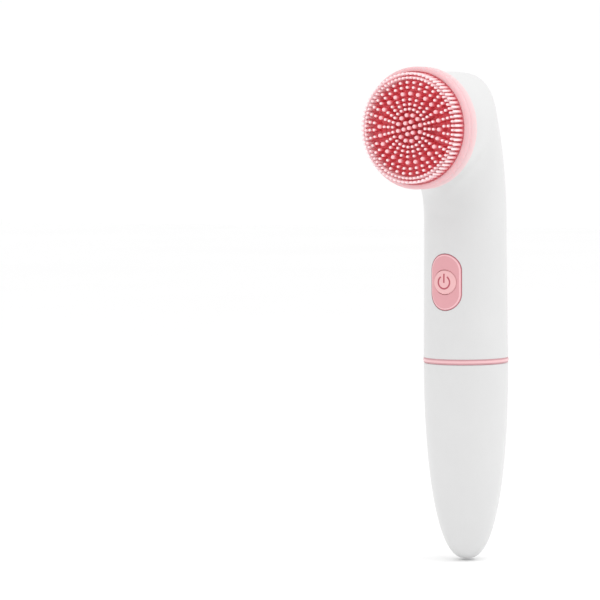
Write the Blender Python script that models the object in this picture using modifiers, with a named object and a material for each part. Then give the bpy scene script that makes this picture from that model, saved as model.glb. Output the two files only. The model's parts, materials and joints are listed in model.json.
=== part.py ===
"""Facial cleansing brush: handset with a spinning silicone brush head.

Frame: origin at the lower tip on the handle axis, +Z up the handle, the
brush head faces -Y and the handset is mirror-symmetric across the YZ plane.
Dimensions below are in millimetres and are turned into metres on building.
"""
import math

import bmesh
import bpy
from mathutils import Matrix, Vector

# ---------------------------------------------------------------- dimensions
CAP_H = 79.0            # length of the pull-off lower handle
CAP_R = 16.85           # handle radius at the split
CAP_WALL = 2.0
RING_Z = (79.2, 81.0)   # decorative split ring
RING_R = (14.7, 17.1)
CASE_Z0 = 81.2          # lower edge of the upper casing
CASE_R = 16.45          # handle radius below the neck
CASE_WALL = 2.0
BEND_Y = -30.0          # pivot of the neck bend
BEND_Z = 136.0
BEND_IN = (-BEND_Y - CASE_R, 14.1)      # pivot to the inside of the bend, start and end
CROWN_BULGE = 8.8       # how much fuller the back of the head is than a plain bend
MOUTH_Y = -31.4         # front edge of the casing around the head
HEAD_Z = 172.4          # height of the spin axis
HEAD_R = 22.3           # casing radius at the head
RIM_R = 23.75           # silicone rim
RIM_Y = -31.8           # rear face of the rim and its carrier
PAD_Y = -39.4           # front of the rim lip
TIP_Y = -44.6           # bristle tips
BRISTLE_R = 21.6        # radius of the bristle field
BUTTON_Z = 111.7
BUTTON_R = 5.0
PLATE = (13.6, 22.4)    # pink plate around the button, width and height
PLATE_R = 16.9          # the plate stands a little proud of the handle
BUTTON_Y = -17.35       # front of the button
CELL_R = 5.2            # AAA cell
CELL_L = 43.8
CELL_X = 5.4
CELL_Y = -1.6
TRAY_FLOOR = 28.0       # inside of the cell compartment
TRAY_TOP = 75.6
MOTOR_Z = (124.3, 149.0)
PINION_TEETH = 8
CROWN_TEETH = 40
CROWN_R = 12.6          # mean radius of the crown teeth
TRAY_R = 14.2           # battery tray where it fills the handle
TRAY_Z = (25.6, 84.0)   # its foot and its top
SEAL_Z = (76.2, 77.9)   # groove of its seal ring
CONTACT_Y = (-5.2, 0.3)
CONTACT_T = 0.4         # thickness of the contact plates
LEAD_Y = 0.3            # where the battery leads pass through the tray
LEAD_R = 0.6
CHASSIS_Z = (84.3, 88.0)
SHELF_Z = (120.0, 122.0)
CAN_R, CAN_FLAT = 10.0, 7.6
SHAFT_R = 1.0           # motor shaft
SHAFT_BORE = 1.15
GEAR_Y = (-5.8, -3.35)  # web of the crown gear
SPINDLE_R = 2.5
HEX_FLAT = (2.1, 2.3)   # half across the flats of the hex end and of its socket
COVER_Y = (-31.2, -28.0)
CARRIER_Y = (-35.0, -37.4)      # front of the carrier and of its hub
PAD_GAP = 0.3           # between the carrier and the silicone over it

NAME = "facial_cleansing_brush"

for old in list(bpy.data.objects):
    bpy.data.objects.remove(old, do_unlink=True)
parts = bpy.data.collections.new(NAME)
bpy.context.scene.collection.children.link(parts)
cutters = bpy.data.collections.new("cutters")
bpy.context.scene.collection.children.link(cutters)

MATERIALS = {
    "white_shell": ((0.88, 0.88, 0.89), 0.35, 0.0),
    "white_inner": ((0.72, 0.73, 0.74), 0.50, 0.0),
    "pink_trim": ((0.78, 0.42, 0.44), 0.40, 0.0),
    "pink_button": ((0.82, 0.50, 0.49), 0.45, 0.0),
    "pink_silicone": ((0.92, 0.62, 0.62), 0.50, 0.0),
    "coral_bristle": ((0.85, 0.40, 0.42), 0.45, 0.0),
    "steel": ((0.62, 0.62, 0.64), 0.30, 1.0),
    "brass": ((0.72, 0.52, 0.24), 0.35, 1.0),
    "bronze": ((0.55, 0.36, 0.20), 0.45, 1.0),
    "acetal": ((0.84, 0.83, 0.78), 0.45, 0.0),
    "rubber": ((0.03, 0.03, 0.03), 0.70, 0.0),
    "board_green": ((0.03, 0.22, 0.10), 0.50, 0.0),
    "chip_black": ((0.02, 0.02, 0.02), 0.50, 0.0),
    "cell_wrap": ((0.10, 0.20, 0.42), 0.40, 0.0),
    "lead_red": ((0.60, 0.04, 0.03), 0.50, 0.0),
    "lead_black": ((0.02, 0.02, 0.02), 0.50, 0.0),
    "armature": ((0.40, 0.20, 0.10), 0.50, 1.0),
}


def material(slot):
    found = bpy.data.materials.get(slot)
    if found:
        return found
    colour, rough, metal = MATERIALS[slot]
    made = bpy.data.materials.new(slot)
    made.use_nodes = True
    shader = made.node_tree.nodes["Principled BSDF"]
    shader.inputs["Base Color"].default_value = (*colour, 1.0)
    shader.inputs["Roughness"].default_value = rough
    shader.inputs["Metallic"].default_value = metal
    made.diffuse_color = (*colour, 1.0)
    return made


# ------------------------------------------------------------------- helpers
def place(name, data, slot=None, at=(0.0, 0.0, 0.0), turn=(0.0, 0.0, 0.0)):
    """Put new data in the model, or among the cutters when it has no material."""
    obj = bpy.data.objects.new(name, data)
    obj.location = Vector(at) * 0.001
    obj.rotation_euler = turn
    if slot is None:
        cutters.objects.link(obj)
        obj.hide_render = True
        obj.display_type = "WIRE"
    else:
        parts.objects.link(obj)
        data.materials.append(material(slot))
    return obj


def from_bmesh(name, bm, slot=None, **where):
    mesh = bpy.data.meshes.new(name)
    bm.to_mesh(mesh)
    bm.free()
    return place(name, mesh, slot, **where)


def lathe(name, profile, slot, count=48, axis="z", centre=(0.0, 0.0), hole=False):
    """Turn (radius, position) points; hole=True closes the profile on itself.

    Round z the position is a height and centre is (x, y). Round y it is a y
    coordinate and centre is (x, z).
    """
    line = [(r, h if axis == "z" else -h) for r, h in profile]
    if not hole:
        line = [(0.0, line[0][1])] + line + [(0.0, line[-1][1])]
    area = sum(p[0] * q[1] - q[0] * p[1] for p, q in zip(line, line[1:] + line[:1]))
    if area > 0:
        line.reverse()
    edges = [(i, i + 1) for i in range(len(line) - 1)]
    if hole:
        edges.append((len(line) - 1, 0))
    mesh = bpy.data.meshes.new(name)
    mesh.from_pydata([(r * 0.001, 0.0, h * 0.001) for r, h in line], edges, [])
    if axis == "z":
        obj = place(name, mesh, slot, at=(centre[0], centre[1], 0.0))
    else:
        obj = place(name, mesh, slot, at=(centre[0], 0.0, centre[1]), turn=(math.pi / 2, 0, 0))
    screw = obj.modifiers.new("turn", "SCREW")
    screw.steps = screw.render_steps = count
    screw.use_merge_vertices = True
    screw.merge_threshold = 1e-5
    return obj


def box(name, low, high, slot):
    bm = bmesh.new()
    bmesh.ops.create_cube(bm, size=0.001)
    bmesh.ops.scale(bm, vec=[h - l for l, h in zip(low, high)], verts=bm.verts)
    return from_bmesh(name, bm, slot, at=[(l + h) / 2 for l, h in zip(low, high)])


def prism(name, sides, flat, low, high, slot=None, centre=(0.0, 0.0)):
    """Regular prism lying along y, flat = half the distance across its flats."""
    bm = bmesh.new()
    radius = flat / math.cos(math.pi / sides) * 0.001
    bmesh.ops.create_cone(bm, cap_ends=True, segments=sides, radius1=radius, radius2=radius,
                          depth=abs(high - low) * 0.001)
    return from_bmesh(name, bm, slot, at=(centre[0], (low + high) / 2, centre[1]),
                      turn=(math.pi / 2, 0, 0))


def pill(name, width, height, slot=None, low=-20.0, high=-8.0):
    """Upright stadium-shaped block standing behind the button."""
    bm = bmesh.new()
    bmesh.ops.create_cone(bm, cap_ends=True, segments=32, radius1=width / 2000,
                          radius2=width / 2000, depth=(high - low) * 0.001)
    for v in bm.verts:
        if abs(v.co.y) > 1e-6:
            v.co.y += math.copysign((height - width) / 2000, v.co.y)
    return from_bmesh(name, bm, slot, at=(0, (low + high) / 2, BUTTON_Z), turn=(math.pi / 2, 0, 0))


def combine(obj, tool, operation):
    mod = obj.modifiers.new(operation.lower() + "_" + tool.name, "BOOLEAN")
    mod.operation = operation
    mod.solver = "EXACT"
    mod.object = tool


def tube(name, points, radius, slot, resolution=1):
    """Round wire through the given points."""
    curve = bpy.data.curves.new(name, "CURVE")
    curve.dimensions = "3D"
    curve.bevel_depth = radius * 0.001
    curve.bevel_resolution = resolution
    curve.use_fill_caps = True
    spline = curve.splines.new("POLY")
    spline.points.add(len(points) - 1)
    for point, co in zip(spline.points, points):
        point.co = (co[0] * 0.001, co[1] * 0.001, co[2] * 0.001, 1.0)
    return place(name, curve, slot)


def flat_outline(name, outlines, low, high, slot):
    """Flat shape in the XY plane, later outlines being holes in the first."""
    curve = bpy.data.curves.new(name, "CURVE")
    curve.dimensions = "2D"
    curve.fill_mode = "BOTH"
    curve.extrude = (high - low) / 2000
    for outline in outlines:
        spline = curve.splines.new("POLY")
        spline.points.add(len(outline) - 1)
        spline.use_cyclic_u = True
        for point, co in zip(spline.points, outline):
            point.co = (co[0] * 0.001, co[1] * 0.001, 0.0, 1.0)
    return place(name, curve, slot, at=(0, 0, (low + high) / 2))


def smooth_path(knots, steps=3):
    """Catmull-Rom points through a few knots."""
    ks = [Vector(k) for k in knots]
    ks = [ks[0] * 2 - ks[1]] + ks + [ks[-1] * 2 - ks[-2]]
    out = []
    for i in range(1, len(ks) - 2):
        for s in range(steps):
            t = s / steps
            a, b, c, d = ks[i - 1:i + 3]
            out.append(0.5 * (2 * b + (c - a) * t + (2 * a - 5 * b + 4 * c - d) * t * t
                              + (3 * b - a - 3 * c + d) * t ** 3))
    out.append(ks[-2])
    return out


def ease(t):
    return t * t * (3 - 2 * t)


# --------------------------------------------------------------- lower handle
def cap_radius(z):
    """Outer radius of the lower handle: straight at the split, blunt at the tip."""
    return CAP_R * (1 - (1 - z / CAP_H) ** 2.2) ** (1 / 2.5)


def cap_profile(offset, steps):
    """Outer curve of the lower handle moved inwards by a wall thickness."""
    out = []
    for i in range(1, steps + 1):
        z = CAP_H * (i / steps) ** 2.4
        step = 0.02
        lo, hi = max(z - step, 1e-4), min(z + step, CAP_H)
        dr, dz = cap_radius(hi) - cap_radius(lo), hi - lo
        size = math.hypot(dr, dz)
        r, h = cap_radius(z) - offset * dz / size, z + offset * dr / size
        if r > 0.4 and (not out or h > out[-1][1] + 0.2):
            out.append((r, min(h, CAP_H)))
    return out


outer = [(0.6, 0.0)] + cap_profile(0.0, 15)
inner = cap_profile(CAP_WALL, 11)
cap_line = outer[:-1] + [(CAP_R, CAP_H - 0.35), (CAP_R - 0.35, CAP_H)]
cap_line += [(inner[-1][0], CAP_H)] + inner[-2::-1] + [(0.3, inner[0][1] - 0.1)]
lathe("lower_cap", cap_line, "white_shell", 44)

# ------------------------------------------------------------- decorative ring
lathe("split_ring", [(RING_R[0], RING_Z[0]), (RING_R[1] - 0.3, RING_Z[0]),
                     (RING_R[1], RING_Z[0] + 0.35), (RING_R[1], RING_Z[1] - 0.35),
                     (RING_R[1] - 0.3, RING_Z[1]), (RING_R[0], RING_Z[1])],
      "pink_trim", 44, hole=True)

# -------------------------------------------------------------- upper casing
NECK_STEPS = 11
SIDES = 44
SCREW_ANGLES = (90, 210, 330)
BOSS_R = 17.7           # circle of the cover screws


def ring_at(radius, height):
    turn = 2 * math.pi / SIDES
    return [(radius * math.cos(i * turn), radius * math.sin(i * turn), height)
            for i in range(SIDES)]


def neck_ring(theta):
    """Cross-section of the bent neck in a plane through the bend pivot."""
    t = theta / 90.0
    near = BEND_IN[0] + (BEND_IN[1] - BEND_IN[0]) * t
    straight = 2 * CASE_R + near
    crest = HEAD_Z + HEAD_R - BEND_Z
    far = straight + (crest + 2.0 - straight) * ease(t)
    far += CROWN_BULGE * math.sin(math.pi * t * t) ** 2
    level = crest / max(math.sin(math.radians(theta)), 0.05)
    far = -1.2 * math.log(math.exp(-far / 1.2) + math.exp(-level / 1.2))
    wide = CASE_R + (HEAD_R - CASE_R) * ease(max(0.0, 2 * t - 1))
    mid, half = (far + near) / 2, (far - near) / 2
    ring = []
    for i in range(SIDES):
        a = 2 * math.pi * i / SIDES
        s = mid + half * math.sin(a)
        ring.append((wide * math.cos(a), BEND_Y + s * math.cos(math.radians(theta)),
                     BEND_Z + s * math.sin(math.radians(theta))))
    return ring


def casing_surface():
    """Open skin of the casing: straight handle, bent neck, round mouth."""
    rings = [ring_at(CAP_R, CASE_Z0), ring_at(CASE_R, 128.0)]
    rings += [neck_ring(90.0 * i / NECK_STEPS) for i in range(NECK_STEPS + 1)]
    rings.append([(x, MOUTH_Y, z) for x, y, z in rings[-1]])
    bm = bmesh.new()
    rows = [[bm.verts.new(Vector(p) * 0.001) for p in ring] for ring in rings]
    for low, high in zip(rows, rows[1:]):
        for i in range(SIDES):
            j = (i + 1) % SIDES
            bm.faces.new((low[i], low[j], high[j], high[i]))
    return bm


casing = from_bmesh("upper_casing", casing_surface(), "white_shell")
wall = casing.modifiers.new("wall", "SOLIDIFY")
wall.thickness = CASE_WALL * 0.001
wall.offset = -1.0
for k, angle in enumerate(SCREW_ANGLES):
    at = (BOSS_R * math.cos(math.radians(angle)),
          HEAD_Z + BOSS_R * math.sin(math.radians(angle)))
    boss = lathe(f"boss_{k}", [(3.1, -27.6), (3.1, -23.8)], None, 20, "y", at)
    pilot = lathe(f"pilot_{k}", [(1.15, -27.9), (1.15, -24.5)], None, 16, "y", at)
    combine(casing, boss, "UNION")
    combine(casing, pilot, "DIFFERENCE")
window = pill("window", PLATE[0] + 0.5, PLATE[1] + 0.5)
combine(casing, window, "DIFFERENCE")

# --------------------------------------------------------------- button group
plate = pill("button_bezel", PLATE[0], PLATE[1], "pink_trim")
skin = lathe("plate_skin", [(13.0, 90.0), (PLATE_R, 90.0), (PLATE_R, 135.0), (13.0, 135.0)],
             None, 60, hole=True)
combine(plate, skin, "INTERSECT")
flange = pill("plate_flange", PLATE[0] + 3, PLATE[1] + 3)
flange_skin = lathe("flange_skin", [(13.0, 90.0), (13.9, 90.0), (13.9, 135.0), (13.0, 135.0)],
                    None, 60, hole=True)
combine(flange, flange_skin, "INTERSECT")
combine(plate, flange, "UNION")
well = lathe("button_well", [(BUTTON_R + 0.25, -20.0), (BUTTON_R + 0.25, -8.0)], None, 40, "y",
             (0.0, BUTTON_Z))
combine(plate, well, "DIFFERENCE")

lathe("power_button", [(1.5, BUTTON_Y), (4.0, BUTTON_Y + 0.1), (4.6, BUTTON_Y + 0.35),
                       (BUTTON_R, BUTTON_Y + 0.8), (BUTTON_R, -11.4), (6.0, -11.2),
                       (6.0, -10.5), (1.0, -10.5)],
      "pink_button", 40, "y", (0.0, BUTTON_Z))
lathe("switch_plunger", [(1.5, -10.2), (1.5, -8.8)], "chip_black", 20, "y",
      (0.0, BUTTON_Z))
switch = box("switch_body", (-3.0, -9.4, BUTTON_Z - 3.0), (3.0, -7.2, BUTTON_Z + 3.0), "chip_black")
bore = lathe("switch_bore", [(1.75, -10.5), (1.75, -7.8)], None, 20, "y", (0.0, BUTTON_Z))
combine(switch, bore, "DIFFERENCE")

# ----------------------------------------------------------- electronics board
box("circuit_board", (-8.3, -6.9, 96.0), (8.3, -5.3, 119.0), "board_green")
box("control_chip", (-3.0, -5.0, 100.0), (3.0, -3.6, 105.0), "chip_black")
lathe("capacitor", [(2.0, 108.5), (2.0, 115.5)], "steel", 20, "z", (-3.6, -2.6))

# --------------------------------------------------------------- battery tray
tray_line = [(0.5, TRAY_Z[0]), (10.1, TRAY_Z[0]), (10.9, 27.0), (12.3, 37.0), (13.2, 48.0),
             (13.8, 60.0), (TRAY_R, 70.0), (TRAY_R, SEAL_Z[0]), (TRAY_R - 1.2, SEAL_Z[0]),
             (TRAY_R - 1.2, SEAL_Z[1]), (TRAY_R, SEAL_Z[1]), (TRAY_R, TRAY_Z[1]), (0.5, TRAY_Z[1])]
tray = lathe("battery_tray", tray_line, "white_inner", 36)
combine(tray, box("cell_mouth", (-20, -20, TRAY_FLOOR), (20, 0.6, TRAY_TOP), None),
        "DIFFERENCE")
for side, x in (("left", -CELL_X), ("right", CELL_X)):
    combine(tray, lathe(f"cell_bed_{side}", [(5.5, TRAY_FLOOR), (5.5, TRAY_TOP)], None, 24, "z",
                        (x, CELL_Y)), "DIFFERENCE")
    combine(tray, lathe(f"lead_hole_{side}", [(1.2, 74.0), (1.2, 80.0)], None, 12, "z",
                        (x, LEAD_Y)), "DIFFERENCE")
combine(tray, lathe("tray_recess", [(9.0, 78.6), (9.0, 90.0)], None, 32),
        "DIFFERENCE")
lathe("seal_ring", [(TRAY_R - 0.5 + 0.55 * math.cos(a), sum(SEAL_Z) / 2 + 0.55 * math.sin(a))
                    for a in [math.pi * k / 3 for k in range(6)]], "rubber", 36, hole=True)

nub = 0.9
up = [(CELL_R - 0.4, 0.0), (CELL_R, 0.4), (CELL_R, CELL_L - nub - 0.4),
      (CELL_R - 0.4, CELL_L - nub), (1.9, CELL_L - nub), (1.9, CELL_L)]
left_z, right_z = TRAY_TOP - 1.0 - CELL_L, TRAY_FLOOR + 1.0
lathe("battery_left", [(r, left_z + h) for r, h in up], "cell_wrap", 28, "z", (-CELL_X, CELL_Y))
lathe("battery_right", [(r, right_z + CELL_L - h) for r, h in up[::-1]], "cell_wrap", 28, "z",
      (CELL_X, CELL_Y))
for side, x in (("left", -CELL_X), ("right", CELL_X)):
    box(f"contact_{side}", (x - 3.6, CONTACT_Y[0], TRAY_TOP - 0.3 - CONTACT_T),
        (x + 3.6, CONTACT_Y[1], TRAY_TOP - 0.3), "brass")
box("bridge_contact", (-9.0, CONTACT_Y[0], TRAY_FLOOR + 0.3),
    (9.0, CONTACT_Y[1], TRAY_FLOOR + 0.3 + CONTACT_T), "brass")


def coil(name, x, z0, z1, turns=2.25, wide=3.6, tight=2.0):
    steps = int(turns * 14)
    pts = []
    for i in range(steps + 1):
        t = i / steps
        r = wide + (tight - wide) * t
        a = 2 * math.pi * turns * t
        pts.append((x + r * math.cos(a), CELL_Y + r * math.sin(a), z0 + (z1 - z0) * t))
    tube(name, pts, 0.2, "steel")


coil("spring_left", -CELL_X, 29.25, 30.25)
coil("spring_right", CELL_X, 74.4, 73.3)

# ------------------------------------------------------------------- chassis
chassis = lathe("chassis", [(9.5, CHASSIS_Z[0]), (13.9, CHASSIS_Z[0]), (13.9, CHASSIS_Z[1]),
                            (9.5, CHASSIS_Z[1])], "white_inner", 48, hole=True)
shelf = lathe("shelf", [(8.0, SHELF_Z[0]), (13.6, SHELF_Z[0]), (13.6, SHELF_Z[1]),
                        (8.0, SHELF_Z[1])], None, 48, hole=True)
spine = box("spine", (-6.5, 9.6, 85.0), (6.5, 11.6, 149.0), None)
combine(chassis, spine, "UNION")
combine(chassis, shelf, "UNION")
for side in (-1, 1):
    low, high = sorted((side * 8.8, side * 10.4))
    rail = box(f"rail_{side}", (low, -5.0, 84.8), (high, 5.6, 121.0), None)
    combine(chassis, rail, "UNION")
combine(chassis, box("shelf_notch", (-9.2, -20, 118), (9.2, -8.9, 124), None),
        "DIFFERENCE")
for k, angle in enumerate((45, 135, 270)):
    at = (11.6 * math.cos(math.radians(angle)), 11.6 * math.sin(math.radians(angle)))
    hole = lathe(f"tray_pilot_{k}", [(1.15, 79.0), (1.15, 90.0)], None, 16, "z", at)
    combine(chassis, hole, "DIFFERENCE")
    combine(tray, hole, "DIFFERENCE")
    lathe(f"tray_screw_{k + 1}", [(0.5, 79.6), (1.0, 80.4), (1.0, 88.3), (1.8, 88.3),
                                  (1.8, 89.5), (1.0, 89.9)], "steel", 12, "z", at)

# --------------------------------------------------------------------- motor
def can(name, inset, low, high, slot=None):
    """Round motor can with two flats."""
    bm = bmesh.new()
    bmesh.ops.create_cone(bm, cap_ends=True, segments=32, radius1=(CAN_R - inset) * 0.001,
                          radius2=(CAN_R - inset) * 0.001, depth=(high - low) * 0.001)
    flat = (CAN_FLAT - inset) * 0.001
    for v in bm.verts:
        v.co.y = max(-flat, min(flat, v.co.y))
    return from_bmesh(name, bm, slot, at=(0, 0, (low + high) / 2))


z0, z1 = MOTOR_Z
motor = can("motor_can", 0.0, z0, z1, "steel")
combine(motor, can("can_hollow", 0.8, z0 - 5, z1 - 0.8), "DIFFERENCE")
combine(motor, lathe("can_boss", [(3.0, z1 - 0.4), (3.0, z1 + 1.5)], None, 24), "UNION")
combine(motor, lathe("can_hole", [(SHAFT_BORE, z1 - 4), (SHAFT_BORE, z1 + 4)], None, 16), "DIFFERENCE")
cap = can("motor_end_cap", 0.0, z0 - 1.9, z0 - 0.3, "chip_black")
combine(cap, can("end_plug", 1.1, z0 - 1.0, z0 + 1.6), "UNION")
combine(cap, lathe("end_hole", [(SHAFT_BORE, z0 - 4), (SHAFT_BORE, z0 + 4)], None, 16), "DIFFERENCE")
for name, x in (("motor_terminal_left", -5.2), ("motor_terminal_right", 5.2)):
    box(name, (x - 0.9, 2.2, z0 - 5.0), (x + 0.9, 2.6, z0 - 2.2), "brass")
lathe("motor_shaft", [(SHAFT_R - 0.3, 123.0), (SHAFT_R, 123.3), (SHAFT_R, 162.2),
                      (SHAFT_R - 0.3, 162.5)], "steel", 20)
lathe("armature", [(SHAFT_R + 0.05, z0 + 5.7), (5.8, z0 + 5.7), (5.8, z1 - 5.0),
                   (SHAFT_R + 0.05, z1 - 5.0)], "armature", 28, hole=True)

tooth = 2 * math.pi / PINION_TEETH
toothed = []
for k in range(PINION_TEETH):
    base = -math.pi / 2 + (k + 0.5) * tooth
    for r, a in ((1.75, -0.27), (3.05, -0.11), (3.05, 0.11), (1.75, 0.27)):
        toothed.append((r * math.cos(base + a * tooth), r * math.sin(base + a * tooth)))
bore_line = [((SHAFT_R + 0.06) * math.cos(2 * math.pi * k / 16),
              (SHAFT_R + 0.06) * math.sin(2 * math.pi * k / 16)) for k in range(16)]
flat_outline("drive_pinion", [toothed, bore_line], 156.0, 162.0, "brass")

# ------------------------------------------------------------- gear and spindle
bore = SPINDLE_R + 0.1
crown = lathe("crown_gear", [(bore, -9.0), (4.6, -9.0), (4.6, GEAR_Y[0]), (13.3, GEAR_Y[0]),
                             (13.3, GEAR_Y[1]), (bore, GEAR_Y[1])], "acetal", 40, "y",
              (0.0, HEAD_Z), hole=True)
bm = bmesh.new()
for k in range(CROWN_TEETH):
    made = bmesh.ops.create_cube(bm, size=0.001)["verts"]
    bmesh.ops.scale(bm, vec=(0.66, 1.6, 1.4), verts=made)
    for v in made:
        if v.co.y > 0:
            v.co.x *= 0.75
    bmesh.ops.translate(bm, vec=(0, -0.0028, -CROWN_R * 0.001), verts=made)
    bmesh.ops.rotate(bm, cent=(0, 0, 0), verts=made,
                     matrix=Matrix.Rotation(2 * math.pi * k / CROWN_TEETH, 3, "Y"))
combine(crown, from_bmesh("crown_teeth", bm, at=(0, 0, HEAD_Z)), "UNION")

axle = lathe("drive_spindle", [(1.6, 5.9), (2.0, 5.5), (2.0, -1.6), (SPINDLE_R, -1.6),
                               (SPINDLE_R, COVER_Y[0])], "steel", 24, "y", (0.0, HEAD_Z))
combine(axle, prism("hex_end", 6, HEX_FLAT[0], -36.6, -30.0, centre=(0.0, HEAD_Z)), "UNION")
lathe("retaining_clip", [(bore, -10.1), (4.2, -10.1), (4.2, -9.3), (bore, -9.3)], "steel", 24,
      "y", (0.0, HEAD_Z), hole=True)

# ---------------------------------------------------------------- gear bracket
bracket = lathe("gear_bracket", [(3.4, 149.4), (10.6, 149.4), (10.6, 151.2), (3.4, 151.2)],
                "white_inner", 32, hole=True)
combine(bracket, box("bracket_wall", (-5.4, 4.2, 149.9), (5.4, 6.4, HEAD_Z), None),
        "UNION")
combine(bracket, lathe("bracket_eye", [(5.4, 6.4), (5.4, 4.2)], None, 32, "y", (0.0, HEAD_Z)),
        "UNION")
combine(bracket, lathe("bracket_bore", [(3.4, 9.0), (3.4, 2.0)], None, 24, "y", (0.0, HEAD_Z)),
        "DIFFERENCE")
lathe("rear_bush", [(2.07, 4.1), (3.3, 4.1), (3.3, 6.5), (2.07, 6.5)], "bronze", 24, "y",
      (0.0, HEAD_Z), hole=True)

# ----------------------------------------------------------- head cover group
cover = lathe("head_front_cover", [(4.4, -26.0), (6.4, -26.0), (6.4, COVER_Y[1]),
                                   (20.0, COVER_Y[1]), (20.0, COVER_Y[0]), (4.4, COVER_Y[0])],
              "white_inner", 48, "y", (0.0, HEAD_Z), hole=True)
for k, angle in enumerate(SCREW_ANGLES):
    at = (BOSS_R * math.cos(math.radians(angle)),
          HEAD_Z + BOSS_R * math.sin(math.radians(angle)))
    way = lathe(f"screw_way_{k}", [(1.2, -25.0), (1.2, -29.4), (1.9, -29.4), (1.9, -35.0)], None,
                18, "y", at)
    combine(cover, way, "DIFFERENCE")
    lathe(f"cover_screw_{k + 1}", [(1.0, -31.0), (1.6, -30.7), (1.6, -29.7), (1.0, -29.7),
                                   (1.0, -25.6), (0.5, -25.0)], "steel", 12, "y", at)
lathe("spindle_bush", [(2.57, -31.0), (4.1, -31.0), (4.1, -26.4), (2.57, -26.4)], "bronze", 24,
      "y", (0.0, HEAD_Z), hole=True)
lathe("shaft_seal", [(2.75, -25.9), (4.9, -25.9), (4.9, -24.9), (2.75, -24.9)], "rubber", 24,
      "y", (0.0, HEAD_Z), hole=True)

# ------------------------------------------------------------------ brush head
carrier = lathe("head_carrier", [(21.6, RIM_Y), (21.6, CARRIER_Y[0]), (5.0, CARRIER_Y[0]),
                                 (5.0, CARRIER_Y[1])], "white_inner", 44, "y", (0.0, HEAD_Z))
combine(carrier, prism("hex_socket", 6, HEX_FLAT[1], -40.0, -28.0, centre=(0.0, HEAD_Z)),
        "DIFFERENCE")
face_y, hub_y = CARRIER_Y[0] - PAD_GAP, CARRIER_Y[1] - PAD_GAP
pad_line = [(0.6, hub_y), (5.3, hub_y), (5.3, face_y), (21.9, face_y), (21.9, RIM_Y)]
pad_line += [(RIM_R - 0.9, RIM_Y)]
pad_line += [(RIM_R - 0.9 + 0.9 * math.sin(a), RIM_Y - 0.9 + 0.9 * math.cos(a))
             for a in (math.pi / 6, math.pi / 3, math.pi / 2)]
pad_line += [(RIM_R - 1.3 + 1.3 * math.cos(a), PAD_Y + 1.3 - 1.3 * math.sin(a))
             for a in (0.0, math.pi / 6, math.pi / 3, math.pi / 2)]
pad_line += [(RIM_R - 1.55, PAD_Y + 0.15), (RIM_R - 1.65, PAD_Y + 0.6), (0.6, PAD_Y + 0.6)]
lathe("silicone_pad", pad_line, "pink_silicone", 44, "y", (0.0, HEAD_Z))
lathe("bristle_field", [(1.0, PAD_Y + 0.3), (BRISTLE_R, PAD_Y + 0.3), (BRISTLE_R, TIP_Y + 0.8),
                        (BRISTLE_R - 0.8, TIP_Y), (1.0, TIP_Y)], "coral_bristle", 44, "y",
      (0.0, HEAD_Z))

# ---------------------------------------------------------------------- leads
for colour, side in (("red", -1), ("black", 1)):
    up = [(CELL_X, LEAD_Y, 75.7), (CELL_X, LEAD_Y, 82.0), (5.4, -0.6, 90.0), (6.8, -3.2, 96.0),
          (6.8, -4.6, 99.0)]
    tube(f"battery_lead_{colour}", smooth_path([(side * x, y, z) for x, y, z in up]), LEAD_R,
         f"lead_{colour}")
    up = [(6.6, -4.4, 113.0), (6.6, -3.4, 115.0), (5.6, 0.0, 117.5), (5.2, 1.3, 120.3)]
    tube(f"motor_lead_{colour}", smooth_path([(side * x, y, z) for x, y, z in up]), LEAD_R,
         f"lead_{colour}")

# round pieces are shaded smooth, with their real edges kept sharp
for obj in parts.objects:
    if obj.type == "MESH" and obj.data.polygons:
        obj.data.shade_smooth()
        obj.data.set_sharp_from_angle(angle=math.radians(35))
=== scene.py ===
"""Looks for the facial cleansing brush: smooth shells, silicone head with real bristles,
moulded-plastic and silicone materials, and a plain bright studio."""
import json
import math
import random

import bmesh
import bpy
from mathutils import Matrix, Quaternion, Vector


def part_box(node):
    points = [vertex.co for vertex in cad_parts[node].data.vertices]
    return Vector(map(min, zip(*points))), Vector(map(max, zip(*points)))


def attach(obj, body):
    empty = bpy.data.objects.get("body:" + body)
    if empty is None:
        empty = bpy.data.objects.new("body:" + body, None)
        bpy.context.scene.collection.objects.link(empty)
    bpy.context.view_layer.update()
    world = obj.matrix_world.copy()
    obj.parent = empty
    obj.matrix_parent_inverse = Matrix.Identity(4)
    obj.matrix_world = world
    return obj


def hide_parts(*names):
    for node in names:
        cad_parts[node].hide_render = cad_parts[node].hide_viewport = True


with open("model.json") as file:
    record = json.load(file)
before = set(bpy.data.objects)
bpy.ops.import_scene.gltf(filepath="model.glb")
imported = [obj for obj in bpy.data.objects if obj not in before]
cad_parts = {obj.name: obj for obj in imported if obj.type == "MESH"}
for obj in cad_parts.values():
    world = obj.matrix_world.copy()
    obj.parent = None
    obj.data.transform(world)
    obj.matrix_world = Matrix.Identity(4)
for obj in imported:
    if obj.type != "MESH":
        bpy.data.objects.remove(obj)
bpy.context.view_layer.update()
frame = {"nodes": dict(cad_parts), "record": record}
MM = 0.001              # one millimetre in metres


def reach(node):
    """Lowest and highest corner of a CAD node at rest, in millimetres."""
    return [Vector(corner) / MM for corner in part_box(node)]


# sizes taken from the frame, in millimetres
low, high = reach("lower_cap")
CAP_H, CAP_R = high.z, high.x
low, high = reach("upper_casing")
CASE_Z0, MOUTH_Y, HEAD_R = low.z, low.y, high.x
low, high = reach("silicone_pad")
HEAD_Z, RIM_R, PAD_Y = (low.z + high.z) / 2, high.x, low.y
TIP_Y = reach("bristle_field")[0].y
low, high = reach("power_button")
BUTTON_Z, BUTTON_Y = (low.z + high.z) / 2, low.y
low, high = reach("button_bezel")
PLATE_FLANGE = 3.0      # the bezel's hidden flange adds this to its width and height
PLATE, PLATE_R = (high.x - low.x - PLATE_FLANGE, high.z - low.z - PLATE_FLANGE), -low.y

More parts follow.
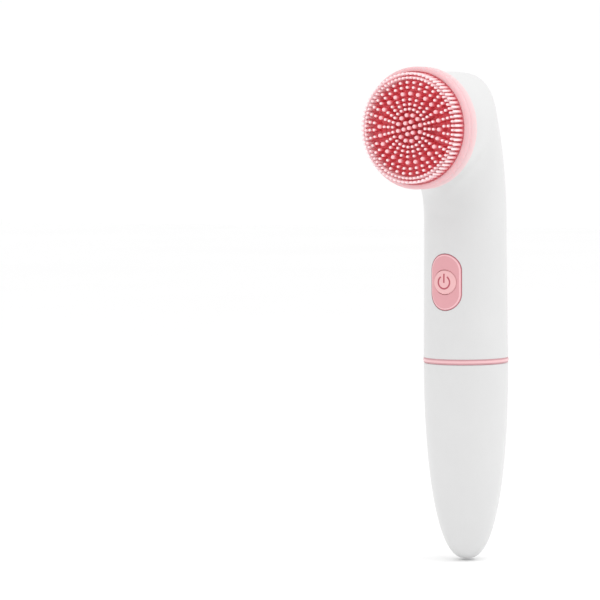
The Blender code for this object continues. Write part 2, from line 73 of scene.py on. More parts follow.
# sizes of the same parts that a box does not show
CAP_WALL = 2.0
CASE_R = 16.45          # handle radius below the neck
CASE_WALL = 2.0
BEND_Y = -30.0          # pivot of the neck bend
BEND_Z = 136.0
BEND_IN = (13.55, 14.1)  # pivot to the inside of the bend, start and end
CROWN_BULGE = 8.8       # how much fuller the back of the head is than a plain bend
BUTTON_R = 5.0
BUTTON_BACK = -10.5     # rear of the button's flange
FLOOR_Y = PAD_Y + 0.65  # silicone floor between the bristles
SIDES = 144             # points round each large ring
WELD = 1e-6             # seams closer than this, in metres, are joined


# ---------------------------------------------------------------- materials
class Nodes:
    """A material's node tree with short calls."""

    def __init__(self, name, colour, rough, metallic=0.0, **sockets):
        self.mat = bpy.data.materials.new(name)
        self.mat.use_nodes = True
        self.mat.diffuse_color = (*colour, 1.0)
        self.tree = self.mat.node_tree
        self.shader = self.tree.nodes["Principled BSDF"]
        self.shader.inputs["Base Color"].default_value = (*colour, 1.0)
        self.shader.inputs["Roughness"].default_value = rough
        self.shader.inputs["Metallic"].default_value = metallic
        for key, value in sockets.items():
            self.shader.inputs[key.replace("_", " ")].default_value = value

    def add(self, kind, **props):
        """New node; a keyword sets the socket of that name, or else the property."""
        node = self.tree.nodes.new(kind)
        for key, value in props.items():
            if key in node.inputs:
                node.inputs[key].default_value = value
            else:
                setattr(node, key, value)
        return node

    def link(self, a, b):
        self.tree.links.new(a, b)

    def place(self):
        """Object coordinates."""
        return self.add("ShaderNodeTexCoord").outputs["Object"]

    def noise(self, scale, detail=3.0, rough=0.5):
        node = self.add("ShaderNodeTexNoise", Scale=scale, Detail=detail, Roughness=rough)
        self.link(self.place(), node.inputs["Vector"])
        return node.outputs["Fac"]

    def ramp(self, source, stops):
        """Colour ramp over (position, colour or grey value) stops."""
        node = self.add("ShaderNodeValToRGB")
        band = node.color_ramp
        while len(band.elements) > 1:
            band.elements.remove(band.elements[-1])
        for i, (at, col) in enumerate(stops):
            el = band.elements[0] if i == 0 else band.elements.new(at)
            el.position = at
            el.color = (*col, 1.0) if isinstance(col, tuple) else (col, col, col, 1.0)
        self.link(source, node.inputs["Fac"])
        return node.outputs["Color"]

    def bump(self, height, distance, strength=0.5):
        node = self.add("ShaderNodeBump", Distance=distance, Strength=strength)
        self.link(height, node.inputs["Height"])
        self.link(node.outputs["Normal"], self.shader.inputs["Normal"])

    def vary(self, colour, spread, scale, rough=None, rough_spread=0.0):
        """Slight mottling of colour and roughness, as a moulding has."""
        low = tuple(max(0.0, c * (1 - spread)) for c in colour)
        high = tuple(min(1.0, c * (1 + spread * 0.5)) for c in colour)
        fac = self.noise(scale)
        self.link(self.ramp(fac, [(0.3, low), (0.7, high)]), self.shader.inputs["Base Color"])
        if rough is not None:
            self.link(self.ramp(fac, [(0.3, rough - rough_spread), (0.7, rough + rough_spread)]),
                      self.shader.inputs["Roughness"])


def srgb(r, g, b):
    """Linear colour from 0-255 display values."""
    def lin(v):
        v /= 255
        return v / 12.92 if v <= 0.04045 else ((v + 0.055) / 1.055) ** 2.4
    return lin(r), lin(g), lin(b)


def plastic(name, colour, rough, spread=0.015, grain=2600.0, depth=0.000012, **more):
    """Moulded plastic: faint mottling and a fine surface grain."""
    n = Nodes(name, colour, rough, **more)
    n.vary(colour, spread, 60.0, rough, 0.03)
    n.bump(n.noise(grain, 2.0, 0.6), depth, 0.35)
    return n.mat


def metal(name, colour, rough, stretch=(1.0, 1.0, 14.0)):
    """Metal with a grain drawn out along one axis."""
    n = Nodes(name, colour, rough, 1.0)
    map_node = n.add("ShaderNodeMapping")
    map_node.inputs["Scale"].default_value = stretch
    n.link(n.place(), map_node.inputs["Vector"])
    grain = n.add("ShaderNodeTexNoise", Scale=900.0, Detail=4.0)
    n.link(map_node.outputs["Vector"], grain.inputs["Vector"])
    n.link(n.ramp(grain.outputs["Fac"], [(0.3, rough * 0.75), (0.7, rough * 1.3)]),
           n.shader.inputs["Roughness"])
    n.bump(grain.outputs["Fac"], 0.00001, 0.3)
    n.link(n.ramp(grain.outputs["Fac"], [(0.2, tuple(c * 0.92 for c in colour)), (0.8, colour)]),
           n.shader.inputs["Base Color"])
    return n.mat


MAT = {
    "white_shell": plastic("white_shell", srgb(211, 211, 211), 0.34, Coat_Weight=0.25,
                           Coat_Roughness=0.22),
    "white_inner": plastic("white_inner", srgb(226, 227, 229), 0.5),
    "pink_trim": plastic("pink_trim", srgb(198, 146, 152), 0.4),
    # painted light: paler pink for the split ring's crown, while the darker pink_trim steps beside it
    # paint shade
    "pink_painted_light_band": plastic("pink_painted_light_band", srgb(230, 184, 188), 0.3, Coat_Weight=0.3, Coat_Roughness=0.2),
    "pink_plate": plastic("pink_plate", srgb(216, 156, 162), 0.42),
    # painted shade: darker pink for the step band round the button plate
    "pink_painted_shade_step": plastic("pink_painted_shade_step", srgb(190, 112, 122), 0.45),
    # painted highlight: lighter pink for the button plate's rounded edge
    "pink_painted_highlight_edge": plastic("pink_painted_highlight_edge", srgb(236, 186, 191), 0.36),
    "pink_button": plastic("pink_button", srgb(229, 178, 180), 0.42),
    "icon_ink": plastic("icon_ink", srgb(176, 78, 92), 0.5),
    "acetal": plastic("acetal", srgb(232, 230, 222), 0.45),
    "chip_black": plastic("chip_black", srgb(38, 38, 40), 0.5),
    "rubber": plastic("rubber", srgb(44, 44, 46), 0.7, grain=1500.0, depth=0.00002),
    "lead_red": plastic("lead_red", srgb(190, 30, 26), 0.45),
    "lead_black": plastic("lead_black", srgb(30, 30, 32), 0.45),
    "steel": metal("steel", (0.62, 0.62, 0.64), 0.28),
    "brass": metal("brass", (0.74, 0.54, 0.26), 0.3),
    "bronze": metal("bronze", (0.52, 0.34, 0.18), 0.45, (1, 1, 1)),
}


def board_material():
    """Solder mask over a cellular pattern of copper areas."""
    n = Nodes("board_green", srgb(20, 104, 56), 0.4)
    vor = n.add("ShaderNodeTexVoronoi", Scale=420.0, feature="DISTANCE_TO_EDGE")
    n.link(n.place(), vor.inputs["Vector"])
    n.link(n.ramp(vor.outputs["Distance"], [(0.03, srgb(48, 140, 84)), (0.08, srgb(18, 98, 52))]),
           n.shader.inputs["Base Color"])
    n.bump(vor.outputs["Distance"], 0.00003, 0.4)
    return n.mat


def cell_material():
    """Printed plastic sleeve of a dry cell."""
    n = Nodes("cell_wrap", srgb(40, 84, 150), 0.3)
    n.vary(srgb(40, 84, 150), 0.08, 90.0, 0.3, 0.05)
    n.bump(n.noise(1200.0), 0.00001, 0.3)
    return n.mat


def winding_material():
    """Banded enamelled wire."""
    n = Nodes("armature", srgb(150, 84, 40), 0.35, 0.8)
    wave = n.add("ShaderNodeTexWave", Scale=900.0, Distortion=1.5)
    n.link(n.place(), wave.inputs["Vector"])
    n.link(n.ramp(wave.outputs["Fac"], [(0.2, srgb(104, 52, 26)), (0.8, srgb(176, 104, 56))]),
           n.shader.inputs["Base Color"])
    n.bump(wave.outputs["Fac"], 0.00005, 0.6)
    return n.mat


def silicone(name, colours, start, end, rough=0.42, scatter=0.35, spread=0.45):
    """Soft silicone coloured along -Y, from position start to end in mm: root, middle, tip. On the
    bristles a darker root paints the shade among them and a paler tip paints light.
    """
    root, middle, tip = (srgb(*c) for c in colours)
    n = Nodes(name, tip, rough, Subsurface_Weight=scatter, Subsurface_Scale=0.0015,
              Specular_IOR_Level=0.3)
    n.shader.inputs["Subsurface Radius"].default_value = (1.0, spread, spread)
    split = n.add("ShaderNodeSeparateXYZ")
    n.link(n.place(), split.inputs["Vector"])
    span = n.add("ShaderNodeMapRange")
    span.inputs["From Min"].default_value = start * MM
    span.inputs["From Max"].default_value = end * MM
    n.link(split.outputs["Y"], span.inputs["Value"])
    mottle = n.add("ShaderNodeMath", operation="MULTIPLY_ADD")
    mottle.inputs[1].default_value = 0.10
    n.link(n.noise(500.0), mottle.inputs[0])
    n.link(span.outputs["Result"], mottle.inputs[2])
    n.link(n.ramp(mottle.outputs[0], [(0.05, root), (0.5, middle), (1.0, tip)]),
           n.shader.inputs["Base Color"])
    n.bump(n.noise(1800.0, 2.0), 0.00002, 0.3)
    return n.mat


MAT["board_green"] = board_material()
MAT["cell_wrap"] = cell_material()
MAT["armature"] = winding_material()
MAT["rim"] = silicone("rim_silicone", [(228, 200, 202), (226, 190, 193), (226, 184, 188)],
                      -33.0, -38.5)
# painted shade: the coral of the lip's inner wall and of the floor stands for the shade deep among the
# bristles
MAT["lip_painted_shade"] = silicone("lip_painted_shade", [(220, 118, 126), (223, 128, 135), (226, 136, 142)],
                           -38.0, -40.0)
MAT["floor_painted_shade"] = silicone("floor_painted_shade", [(246, 106, 119), (248, 114, 126), (250, 122, 133)],
                              -38.0, -40.0, scatter=0.5)
# painted shade and light: each bristle darkens to coral at its root, where shade falls among them, and
# pales to its lit tip
MAT["bristle_inner_painted_shade_and_light"] = silicone("bristle_inner_painted_shade_and_light", [(240, 110, 122), (247, 166, 173), (255, 230, 232)],
                                -42.5, -44.3, 0.32, 0.12, 0.8)
MAT["bristle_thick_painted_shade_and_light"] = silicone("bristle_thick_painted_shade_and_light", [(240, 110, 122), (245, 154, 162), (254, 204, 208)],
                                -42.2, -44.2, 0.32, 0.12, 0.8)
# painted light: the two outer rows are paler all along, as if lit from the side
MAT["bristle_outer_painted_light"] = silicone("bristle_outer_painted_light", [(248, 172, 178), (252, 202, 206), (255, 226, 229)],
                                -38.8, -42.4, 0.32, 0.12, 0.8)

SLOT_OF = {part["node"]: part["material_slot"] for part in frame["record"]["subparts"]}
for node, obj in frame["nodes"].items():
    for slot in obj.material_slots:
        slot.material = MAT.get(SLOT_OF[node], MAT["white_inner"])


# ------------------------------------------------------------------ helpers
def mesh_object(name, bm):
    """Scene object made from a bmesh, with its faces turned outwards."""
    mesh = bpy.data.meshes.new(name)
    bmesh.ops.recalc_face_normals(bm, faces=bm.faces)
    bm.to_mesh(mesh)
    bm.free()
    obj = bpy.data.objects.new(name, mesh)
    bpy.context.scene.collection.objects.link(obj)
    return obj


def smooth(obj, sharp):
    """Smooth shading with edges sharper than an angle in degrees left crisp."""
    obj.data.shade_smooth()
    obj.data.set_sharp_from_angle(angle=math.radians(sharp))


def add_piece(name, bm, mats, body, replaces, sharp=40.0):
    """Visible piece that rides on a body and replaces the CAD nodes named."""
    obj = mesh_object(name, bm)
    smooth(obj, sharp)
    for mat in mats:
        obj.data.materials.append(mat)
    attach(obj, body)
    if replaces:
        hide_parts(*replaces)
    return obj


def revolve(profile, count, axis="z", centre=(0.0, 0.0), bm=None, index=0):
    """Turned surface from (radius, position) points in mm; ends on the axis are closed."""
    bm = bm or bmesh.new()
    rows = []
    for r, h in profile:
        if r < 1e-6:
            p = (centre[0], centre[1], h) if axis == "z" else (centre[0], h, centre[1])
            rows.append([bm.verts.new(Vector(p) * MM)])
            continue
        row = []
        for i in range(count):
            a = 2 * math.pi * i / count
            u, v = centre[0] + r * math.cos(a), centre[1] + r * math.sin(a)
            row.append(bm.verts.new(Vector((u, v, h) if axis == "z" else (u, h, v)) * MM))
        rows.append(row)
    for a, b in zip(rows, rows[1:]):
        for i in range(count):
            j = (i + 1) % count
            quad = [a[i % len(a)], a[j % len(a)], b[j % len(b)], b[i % len(b)]]
            face = bm.faces.new(list(dict.fromkeys(quad)))
            face.material_index = index
    return bm


def ease(t):
    """Smooth step from 0 to 1."""
    return t * t * (3 - 2 * t)


# -------------------------------------------------------------- lower handle
def cap_radius(z):
    """Radius of the tapered lower handle at a height."""
    return CAP_R * (1 - (1 - z / CAP_H) ** 2.2) ** (1 / 2.5)


def cap_curve(offset, steps):
    """Profile of the lower handle, moved inwards by an offset, from the tip up."""
    out = []
    for i in range(1, steps + 1):
        z = CAP_H * (i / steps) ** 2.4
        lo, hi = max(z - 0.02, 1e-4), min(z + 0.02, CAP_H)
        dr, dz = cap_radius(hi) - cap_radius(lo), hi - lo
        size = math.hypot(dr, dz)
        r, h = cap_radius(z) - offset * dz / size, z + offset * dr / size
        if r > 0.4 and (not out or h > out[-1][1] + 0.02):
            out.append((r, min(h, CAP_H)))
    return out


def corner(cx, cy, r, a0, a1, steps=5):
    """Quarter-round run of profile points, angles in degrees."""
    return [(cx + r * math.cos(math.radians(a0 + (a1 - a0) * i / steps)),
             cy + r * math.sin(math.radians(a0 + (a1 - a0) * i / steps))) for i in range(steps + 1)]


CAP_EDGE = 0.45         # rounding of the open end
outer, inner = cap_curve(0.0, 60), cap_curve(CAP_WALL, 40)
line = [(0.0, 0.0), (0.35, 0.004)] + [p for p in outer if p[1] < CAP_H - CAP_EDGE - 0.05]
line += corner(CAP_R - CAP_EDGE, CAP_H - CAP_EDGE, CAP_EDGE, 0, 90)
line += [(inner[-1][0], CAP_H)] + inner[-2::-1] + [(0.0, inner[0][1] - 0.1)]
add_piece("lower_handle_shell", revolve(line, SIDES), [MAT["white_shell"]], "lower_cap",
          ["lower_cap"])

# split ring: a soft crown between two stepped edges; the crown is painted lighter as lit and the steps
# darker as shade
RING_LOW, RING_HIGH = 79.05, 81.15
CROWN_LOW, CROWN_HIGH = 79.62, 80.58
RING_BORE, STEP_R, STEP_EDGE = 14.7, 16.9, 0.18
CROWN_RISE = [(0.0, 0.0), (0.13, 0.12), (0.2, 0.33)]    # beyond the step, and up from the crown's end
round_r = STEP_R - STEP_EDGE
ring = [(RING_BORE, RING_LOW), (STEP_R - 0.3, RING_LOW)]
ring += corner(round_r, RING_LOW + STEP_EDGE, STEP_EDGE, -90, 0, 3) + [(STEP_R, CROWN_LOW)]
crown = [(STEP_R + out, CROWN_LOW + up) for out, up in CROWN_RISE]
crown += [(STEP_R + out, CROWN_HIGH - up) for out, up in CROWN_RISE[::-1]]
ring_top = [(STEP_R, CROWN_HIGH)] + corner(round_r, RING_HIGH - STEP_EDGE, STEP_EDGE, 0, 90, 3)
ring_top += [(STEP_R - 0.3, RING_HIGH), (RING_BORE, RING_HIGH), (RING_BORE, RING_LOW)]
bm = revolve(ring, SIDES)
revolve(crown, SIDES, bm=bm, index=1)
revolve(ring_top, SIDES, bm=bm)
bmesh.ops.remove_doubles(bm, verts=bm.verts, dist=WELD)
add_piece("split_ring_crowned", bm, [MAT["pink_trim"], MAT["pink_painted_light_band"]], "handle", ["split_ring"])

# -------------------------------------------------------------- upper casing
BARREL_ROWS, BEND_ROWS = 24, 60
BARREL_TOP = 128.0      # the bend starts above this height
CREST_SPARE = 2.0       # the bend's outside may pass the crest by this before it is levelled
SOFT = 1.2              # how softly the crest levels it


def neck_ring(theta):
    """Section of the bend at an angle in degrees: lying flat at 0, upright at the mouth at 90."""
    t = theta / 90.0
    near = BEND_IN[0] + (BEND_IN[1] - BEND_IN[0]) * t
    straight = 2 * CASE_R + near
    crest = HEAD_Z + HEAD_R - BEND_Z
    far = straight + (crest + CREST_SPARE - straight) * ease(t)
    far += CROWN_BULGE * math.sin(math.pi * t * t) ** 2
    level = crest / max(math.sin(math.radians(theta)), 0.05)
    far = -SOFT * math.log(math.exp(-far / SOFT) + math.exp(-level / SOFT))
    wide = CASE_R + (HEAD_R - CASE_R) * ease(max(0.0, 2 * t - 1))
    mid, half = (far + near) / 2, (far - near) / 2
    ring_pts = []
    for i in range(SIDES):
        a = 2 * math.pi * i / SIDES
        s = mid + half * math.sin(a)
        ring_pts.append((wide * math.cos(a), BEND_Y + s * math.cos(math.radians(theta)),
                         BEND_Z + s * math.sin(math.radians(theta))))
    return ring_pts


def level_ring(radius, z):
    """Circle round the handle's axis."""
    return [(radius * math.cos(2 * math.pi * i / SIDES), radius * math.sin(2 * math.pi * i / SIDES), z)
            for i in range(SIDES)]


bm = bmesh.new()
rings = []
for i in range(BARREL_ROWS):
    t = i / (BARREL_ROWS - 1)
    rings.append(level_ring(CAP_R + (CASE_R - CAP_R) * t, CASE_Z0 + (BARREL_TOP - CASE_Z0) * t))
rings += [neck_ring(90.0 * i / BEND_ROWS) for i in range(BEND_ROWS + 1)]
rings.append([(x, MOUTH_Y, z) for x, y, z in rings[-1]])
rows = [[bm.verts.new(Vector(p) * MM) for p in r] for r in rings]
for a, b in zip(rows, rows[1:]):
    for i in range(SIDES):
        j = (i + 1) % SIDES
        bm.faces.new((a[i], a[j], b[j], b[i]))
shell = add_piece("neck_shell", bm, [MAT["white_shell"]], "handle", ["upper_casing"])


def apply(obj, kind, **props):
    """Add a modifier and apply it at once."""
    mod = obj.modifiers.new(kind.lower(), kind)
    for key, value in props.items():
        setattr(mod, key, value)
    with bpy.context.temp_override(object=obj, active_object=obj, selected_objects=[obj]):
        bpy.ops.object.modifier_apply(modifier=mod.name)


def oval_bar(width, height, front, back):
    """Upright oval bar along Y at the button's height."""
    bar = bmesh.new()
    bmesh.ops.create_cone(bar, cap_ends=True, segments=96, radius1=width / 2 * MM,
                          radius2=width / 2 * MM, depth=(back - front) * MM)
    for v in bar.verts:
        if abs(v.co.y) > 1e-7:
            v.co.y += math.copysign((height - width) / 2 * MM, v.co.y)
    bar.transform(Matrix.Translation((0, (front + back) / 2 * MM, BUTTON_Z * MM))
                  @ Matrix.Rotation(math.pi / 2, 4, "X"))
    return bar


# the casing's wall, the window for the plate, and softened edges
WINDOW_GAP = 0.3
apply(shell, "SOLIDIFY", thickness=CASE_WALL * MM, offset=-1.0)
cutter = mesh_object("cutter", oval_bar(PLATE[0] + WINDOW_GAP, PLATE[1] + WINDOW_GAP, -20.0, -8.0))
apply(shell, "BOOLEAN", operation="DIFFERENCE", solver="EXACT", object=cutter)
bpy.data.objects.remove(cutter, do_unlink=True)
apply(shell, "BEVEL", width=0.12 * MM, segments=2, limit_method="ANGLE",
      angle_limit=math.radians(50))
smooth(shell, 42)

# ---------------------------------------------------------- button and plate
KNOB_R = BUTTON_R - 0.1
WELL_R = KNOB_R + 0.08  # hole in the plate for the button
WELL_LIP = 0.12
# the plate's rounding is painted lighter as a highlight, and the step band round it darker as shade
EDGE, RISE, BAND = 0.5, 0.36, 0.3   # the plate's rounding, its depth, and the step around it
STEP_SINK = 0.02
BACK_R = 13.0           # rear skin of the plate
FACE_STEPS, ROUND_STEPS = 6, 4
AROUND = 192            # points round each row of the plate


def pill_reach(angle, inset):
    """Distance from the centre to the plate's outline, moved inwards by inset."""
    half, straight = PLATE[0] / 2 - inset, (PLATE[1] - PLATE[0]) / 2
    c, s = abs(math.cos(angle)), abs(math.sin(angle))
    if half * s <= straight * c:
        return half / c
    return straight * s + math.sqrt(half ** 2 - (straight * c) ** 2)


def plate_row(bm, distance, depth, skin=PLATE_R):
    """Ring of points at distance(angle), sunk by depth below the plate's skin."""
    row = []
    for i in range(AROUND):
        a = 2 * math.pi * i / AROUND
        x, z = distance(a) * math.cos(a), distance(a) * math.sin(a)
        y = depth - math.sqrt(skin ** 2 - x ** 2)
        row.append(bm.verts.new(Vector((x, y, BUTTON_Z + z)) * MM))
    return row


bm = bmesh.new()
rows = [plate_row(bm, lambda a: WELL_R, 0.0, BACK_R), plate_row(bm, lambda a: WELL_R, WELL_LIP)]
for k in range(FACE_STEPS + 1):
    near = k / FACE_STEPS
    rows.append(plate_row(bm, lambda a: (WELL_R + WELL_LIP) * (1 - near)
                          + pill_reach(a, BAND + EDGE) * near, 0.0))
for k in range(1, ROUND_STEPS + 1):
    turn = math.pi / 2 * k / ROUND_STEPS
    rows.append(plate_row(bm, lambda a: pill_reach(a, BAND + EDGE * (1 - math.sin(turn))),
                          RISE * (1 - math.cos(turn))))
rows.append(plate_row(bm, lambda a: pill_reach(a, 0.0), RISE + STEP_SINK))
rows.append(plate_row(bm, lambda a: pill_reach(a, 0.0), 0.0, BACK_R))
FACE_END, ROUND_END = FACE_STEPS + 2, FACE_STEPS + ROUND_STEPS + 2
# the rounding rows get the painted highlight and the step rows get the painted shade
for k, row in enumerate(rows):
    after = rows[(k + 1) % len(rows)]
    for i in range(AROUND):
        j = (i + 1) % AROUND
        face = bm.faces.new((row[i], row[j], after[j], after[i]))
        face.material_index = (k >= FACE_END) + (k >= ROUND_END)
add_piece("button_plate", bm, [MAT["pink_plate"], MAT["pink_painted_highlight_edge"], MAT["pink_painted_shade_step"]], "handle",
          ["button_bezel"])

# button: a shallow dome, a straight side and a flange that keeps it in the plate
DOME_R, DOME_SINK = 3.0, 0.06       # the dome has dropped this far at this radius
KNOB_SKIN = [(0.0, 0.0), (1.5, 0.01), (DOME_R, DOME_SINK), (3.9, 0.14), (4.4, 0.3), (4.7, 0.55),
             (KNOB_R, 0.95)]
FLANGE_R, FLANGE_T = BUTTON_R + 1, 0.7
knob = [(r, BUTTON_Y + sink) for r, sink in KNOB_SKIN]
knob += [(KNOB_R, BUTTON_BACK - FLANGE_T - 0.2), (FLANGE_R, BUTTON_BACK - FLANGE_T),
         (FLANGE_R, BUTTON_BACK), (0.0, BUTTON_BACK)]
add_piece("button_cap", revolve(knob, 96, "y", (0.0, BUTTON_Z)), [MAT["pink_button"]], "button",
          ["power_button"])

# power symbol: open ring and bar, inlaid just proud of the button
R_MID = 2.55            # the ring's middle line
HALF_W = 0.3            # half the width of a stroke
PROUD, SUNK = 0.05, 0.2
OPEN = math.radians(33)  # half the gap at the top of the ring
ARC_STEPS = 48


def dome(r):
    """The button's front skin at a distance from its centre."""
    return BUTTON_Y + DOME_SINK * (r / DOME_R) ** 2


def strip(bm, centre_line):
    """Stroke of the symbol along a line of (x, z) points."""
    rows = []
    for k, (x, z) in enumerate(centre_line):
        ax, az = centre_line[max(k - 1, 0)]
        bx, bz = centre_line[min(k + 1, len(centre_line) - 1)]
        size = math.hypot(bx - ax, bz - az)
        nx, nz = -(bz - az) / size, (bx - ax) / size
        row = []
        for side, lift in ((-1, -SUNK), (-1, PROUD), (1, PROUD), (1, -SUNK)):
            px, pz = x + nx * HALF_W * side, z + nz * HALF_W * side
            y = dome(math.hypot(px, pz)) - lift
            row.append(bm.verts.new(Vector((px, y, BUTTON_Z + pz)) * MM))
        rows.append(row)
    for a, b in zip(rows, rows[1:]):
        for i in range(4):
            j = (i + 1) % 4
            bm.faces.new((a[i], a[j], b[j], b[i]))
    bm.faces.new(rows[0])
    bm.faces.new(rows[-1][::-1])


bm = bmesh.new()
turns = [OPEN + (2 * math.pi - 2 * OPEN) * k / ARC_STEPS for k in range(ARC_STEPS + 1)]
strip(bm, [(R_MID * math.sin(a), R_MID * math.cos(a)) for a in turns])
strip(bm, [(0.0, -0.2), (0.0, 1.0), (0.0, 2.2), (0.0, 3.4)])
add_piece("power_icon", bm, [MAT["icon_ink"]], "button", ())

# --------------------------------------------------------------- brush head
RIM_BACK = -31.9
SEAT_R, SEAT_Y = 21.9, -35.3        # hollow at the back, filled by the carrier
HUB_R, HUB_Y = 5.3, -37.7           # room for the carrier's hub
GROOVE_Y = -36.6                    # shallow groove round the rim
GROOVE = [(0.0, 0.5), (0.1, 0.3), (0.28, 0.0), (0.1, -0.3), (0.0, -0.5)]     # depth, and along Y
BACK_EDGE, FRONT_EDGE, LIP_EDGE = 0.8, 1.3, 0.3
# the floor's coral is painted shade among the bristles
PAINTED_SHADE_R = 21.3                      # the coral floor ends here
AXIS = (0.0, HEAD_Z)
rim = [(HUB_R, HUB_Y), (HUB_R, SEAT_Y), (SEAT_R, SEAT_Y), (SEAT_R, RIM_BACK)]
rim += corner(RIM_R - BACK_EDGE, RIM_BACK - BACK_EDGE, BACK_EDGE, 90, 0, 6)
rim += [(RIM_R - sink, GROOVE_Y + along) for sink, along in GROOVE] + [(RIM_R, PAD_Y + 1.5)]
rim += corner(RIM_R - FRONT_EDGE, PAD_Y + FRONT_EDGE, FRONT_EDGE, 0, -90, 9)
rim += corner(SEAT_R + LIP_EDGE, PAD_Y + LIP_EDGE, LIP_EDGE, -90, -180, 4)
bm = revolve(rim, SIDES, "y", AXIS)
# the lip's inner wall and the floor take the coral of painted shade
revolve([(SEAT_R, PAD_Y + LIP_EDGE), (SEAT_R - 0.05, FLOOR_Y - 0.05), (PAINTED_SHADE_R, FLOOR_Y)], SIDES,
        "y", AXIS, bm=bm, index=2)
revolve([(PAINTED_SHADE_R, FLOOR_Y), (0.0, FLOOR_Y)], SIDES, "y", AXIS, bm=bm, index=1)
revolve([(0.0, HUB_Y), (HUB_R, HUB_Y)], SIDES, "y", AXIS, bm=bm)
bmesh.ops.remove_doubles(bm, verts=bm.verts, dist=WELD)
add_piece("silicone_rim", bm, [MAT["rim"], MAT["floor_painted_shade"], MAT["lip_painted_shade"]], "brush_head",
          ["silicone_pad"])

# rows of bristles: (radius of the row, bristles in it, bristle radius, material index)
# materials 0 and 1 paint shade low on each bristle and light at its tip, and material 2 paints the
# outer rows as lit from the side
BRISTLES = ["bristle_inner_painted_shade_and_light", "bristle_thick_painted_shade_and_light", "bristle_outer_painted_light"]
THICK, THIN, FINE = 0.88, 0.58, 0.52
PHASE = math.radians(12.0)          # where each row starts
ROWS = [(0.0, 1, THICK, 1), (2.45, 6, THICK, 1), (5.05, 12, THICK, 1), (7.3, 24, THIN, 0),
        (9.15, 24, THIN, 0), (11.0, 24, THIN, 0), (13.25, 24, THICK, 1), (15.6, 36, THIN, 0),
        (17.5, 36, THIN, 0), (19.3, 72, FINE, 2), (20.9, 72, FINE, 2)]
SPLAY, SPLAY_R = 0.012, 21.0        # outward lean of a row at this radius
ROOT_SINK = 0.1                     # how far a root reaches into the floor
TAPER = 0.92                        # a bristle's width at its top end
SHAFT = [(1.22, 0.0), (1.06, 0.06), (1.0, 0.18), (0.95, 0.55), (TAPER, 1.0)]     # width, along
DOME_TURNS = (25, 50, 72)           # rows of the domed tip, degrees
BRISTLE_SIDES = 12


def bristle(bm, radius, angle, thick, length, twist, index):
    """One bristle standing on the floor: flared root, slim taper, domed tip."""
    lean = SPLAY * radius / SPLAY_R
    shaft, sides = length - thick, BRISTLE_SIDES
    profile = [(thick * wide, shaft * along) for wide, along in SHAFT]
    for turn in (math.radians(degrees) for degrees in DOME_TURNS):
        profile.append((thick * TAPER * math.cos(turn), shaft + thick * math.sin(turn)))

    def at(out, across, up):
        x = (radius + lean * up) * math.cos(angle) + out
        z = (radius + lean * up) * math.sin(angle) + across
        return bm.verts.new(Vector((x, FLOOR_Y + ROOT_SINK - up, HEAD_Z + z)) * MM)

    turns = [twist + 2 * math.pi * i / sides for i in range(sides)]
    rows = [[at(r * math.cos(t), r * math.sin(t), h) for t in turns] for r, h in profile]
    tip = at(0.0, 0.0, length)
    faces = [bm.faces.new(rows[0][::-1])]
    for p, q in zip(rows, rows[1:]):
        faces += [bm.faces.new((p[i], p[(i + 1) % sides], q[(i + 1) % sides], q[i]))
                  for i in range(sides)]
    faces += [bm.faces.new((rows[-1][i], rows[-1][(i + 1) % sides], tip)) for i in range(sides)]
    for face in faces:
        face.material_index = index


bm = bmesh.new()
random.seed(7)
for radius, number, thick, index in ROWS:
    for k in range(number):
        length = FLOOR_Y + ROOT_SINK - TIP_Y - random.uniform(0.02, 0.14)
        bristle(bm, radius, PHASE + 2 * math.pi * k / number, thick, length,
                random.uniform(0, math.pi), index)
add_piece("silicone_bristles", bm, [MAT[name] for name in BRISTLES], "brush_head",
          ["bristle_field"], 60.0)

# ---------------------------------------------------------------- two AAA cells
NUB, NUB_R = 0.9, 1.9               # the button end's height and radius
NUB_EDGE = 0.2
SHRINK = 0.35                       # rounding of the sleeve's ends
SLEEVE_LIP, SEAM = 0.6, 0.15        # how far the sleeve laps over an end, and the step behind it
END_SINK = 0.12
for side, flip in (("left", False), ("right", True)):
    low, high = reach(f"battery_{side}")
    cell_r, cell_l = (high.x - low.x) / 2, high.z - low.z
    axis = ((low.x + high.x) / 2, (low.y + high.y) / 2)
    top, lip = cell_l - NUB, cell_r - SLEEVE_LIP
    sleeve = [(lip, 0.0)] + corner(cell_r - SHRINK, SHRINK, SHRINK, -90, 0, 4)
    sleeve += corner(cell_r - SHRINK, top - SHRINK, SHRINK, 0, 90, 4) + [(lip, top)]
    ends = [[(0.0, END_SINK), (lip - SEAM, END_SINK), (lip, 0.0)],
            [(lip, top), (lip - SEAM, top - END_SINK), (NUB_R + NUB_EDGE, top - END_SINK),
             (NUB_R, top), (NUB_R, cell_l - NUB_EDGE), (NUB_R - NUB_EDGE, cell_l), (0.0, cell_l)]]

    def stand(line):
        """The same profile at the cell's height, turned over for the flipped cell."""
        return [(r, low.z + (cell_l - h if flip else h)) for r, h in line]

    bm = revolve(stand(sleeve), 64, "z", axis)
    for line in ends:
        revolve(stand(line), 64, "z", axis, bm=bm, index=1)
    bmesh.ops.remove_doubles(bm, verts=bm.verts, dist=WELD)
    add_piece(f"cell_{side}_sleeved", bm, [MAT["cell_wrap"], MAT["steel"]], "handle",
              [f"battery_{side}"])

# ------------------------------------------------------------------- studio
FLOOR_WHITE = (0.99, 0.99, 0.99)
FLOOR_GAP = 0.0006      # the floor lies this far below the tip, in metres
stage_mat = Nodes("studio_floor", FLOOR_WHITE, 0.9)
stage_mat.vary(FLOOR_WHITE, 0.01, 2.0)
bm = bmesh.new()
bmesh.ops.create_grid(bm, x_segments=2, y_segments=2, size=4.0)
floor = mesh_object("studio_floor", bm)
floor.location = (0, 0, -FLOOR_GAP)
floor.data.materials.append(stage_mat.mat)

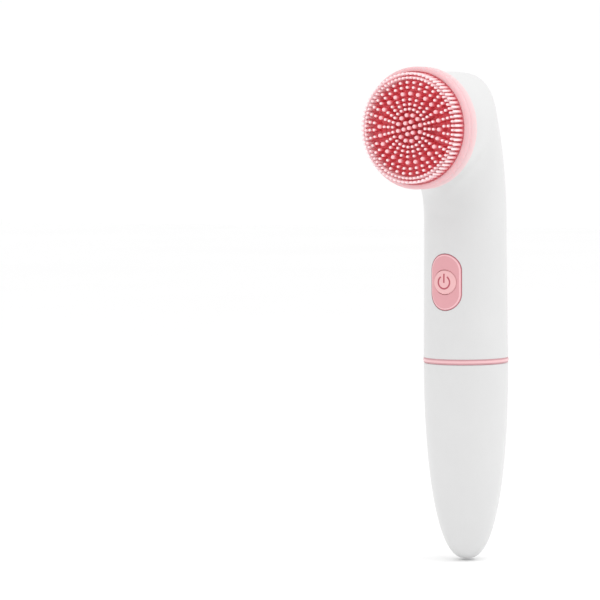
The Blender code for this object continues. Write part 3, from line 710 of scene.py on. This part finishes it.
bpy.context.scene.view_settings.view_transform = "Standard"
world = bpy.data.worlds.new("studio")
bpy.context.scene.world = world
world.use_nodes = True
background = world.node_tree.nodes["Background"]
background.inputs["Color"].default_value = (1.0, 1.0, 1.0, 1.0)
background.inputs["Strength"].default_value = 1.01

# the camera's own directions over the floor
AZ = math.radians(29.5)
RIGHT = Vector((math.cos(AZ), math.sin(AZ), 0))
AWAY = Vector((-math.sin(AZ), math.cos(AZ), 0))
LAMP_AIM = Vector((0, 0, 0.12))


def lamp(name, side, depth, height, size, power):
    """White soft box set to the camera's right (side), beyond (depth) and above, in metres."""
    light = bpy.data.lights.new(name, "AREA")
    light.shape = "RECTANGLE"
    light.size, light.size_y = size
    light.energy = power
    obj = bpy.data.objects.new(name, light)
    obj.location = RIGHT * side + AWAY * depth + Vector((0, 0, height))
    aim = LAMP_AIM - obj.location
    obj.rotation_mode = "QUATERNION"
    obj.rotation_quaternion = aim.to_track_quat("-Z", "Y")
    bpy.context.scene.collection.objects.link(obj)


lamp("key_left", -0.60, 0.02, 0.44, (0.35, 0.5), 0.28)
lamp("fill_right", 0.56, 0.0, 0.46, (0.35, 0.5), 0.70)
lamp("top", 0.1, -0.2, 0.62, (0.4, 0.4), 0.55)
lamp("sparkle", -0.38, -0.58, 0.40, (0.05, 0.05), 0.15)

DIST, CAM_Z = 1.1, 0.165                # metres from the handle's axis, and above the floor
YAW = math.radians(3.4523)              # turned left of the handle's axis
PITCH = math.radians(3.16)              # tilted down
ROLL = math.radians(-0.46)
cam_data = bpy.data.cameras.new("camera")
cam_data.lens = 165.0
cam_data.sensor_width = 36.0
cam_data.clip_start, cam_data.clip_end = 0.05, 20.0
cam = bpy.data.objects.new("camera", cam_data)
cam.location = -AWAY * DIST + Vector((0, 0, CAM_Z))
level_look = AWAY * math.cos(YAW) - RIGHT * math.sin(YAW)
look = level_look * math.cos(PITCH) - Vector((0, 0, math.sin(PITCH)))
cam.rotation_mode = "QUATERNION"
cam.rotation_quaternion = look.to_track_quat("-Z", "Y") @ Quaternion((0, 0, 1), ROLL)
bpy.context.scene.collection.objects.link(cam)
bpy.context.scene.camera = cam
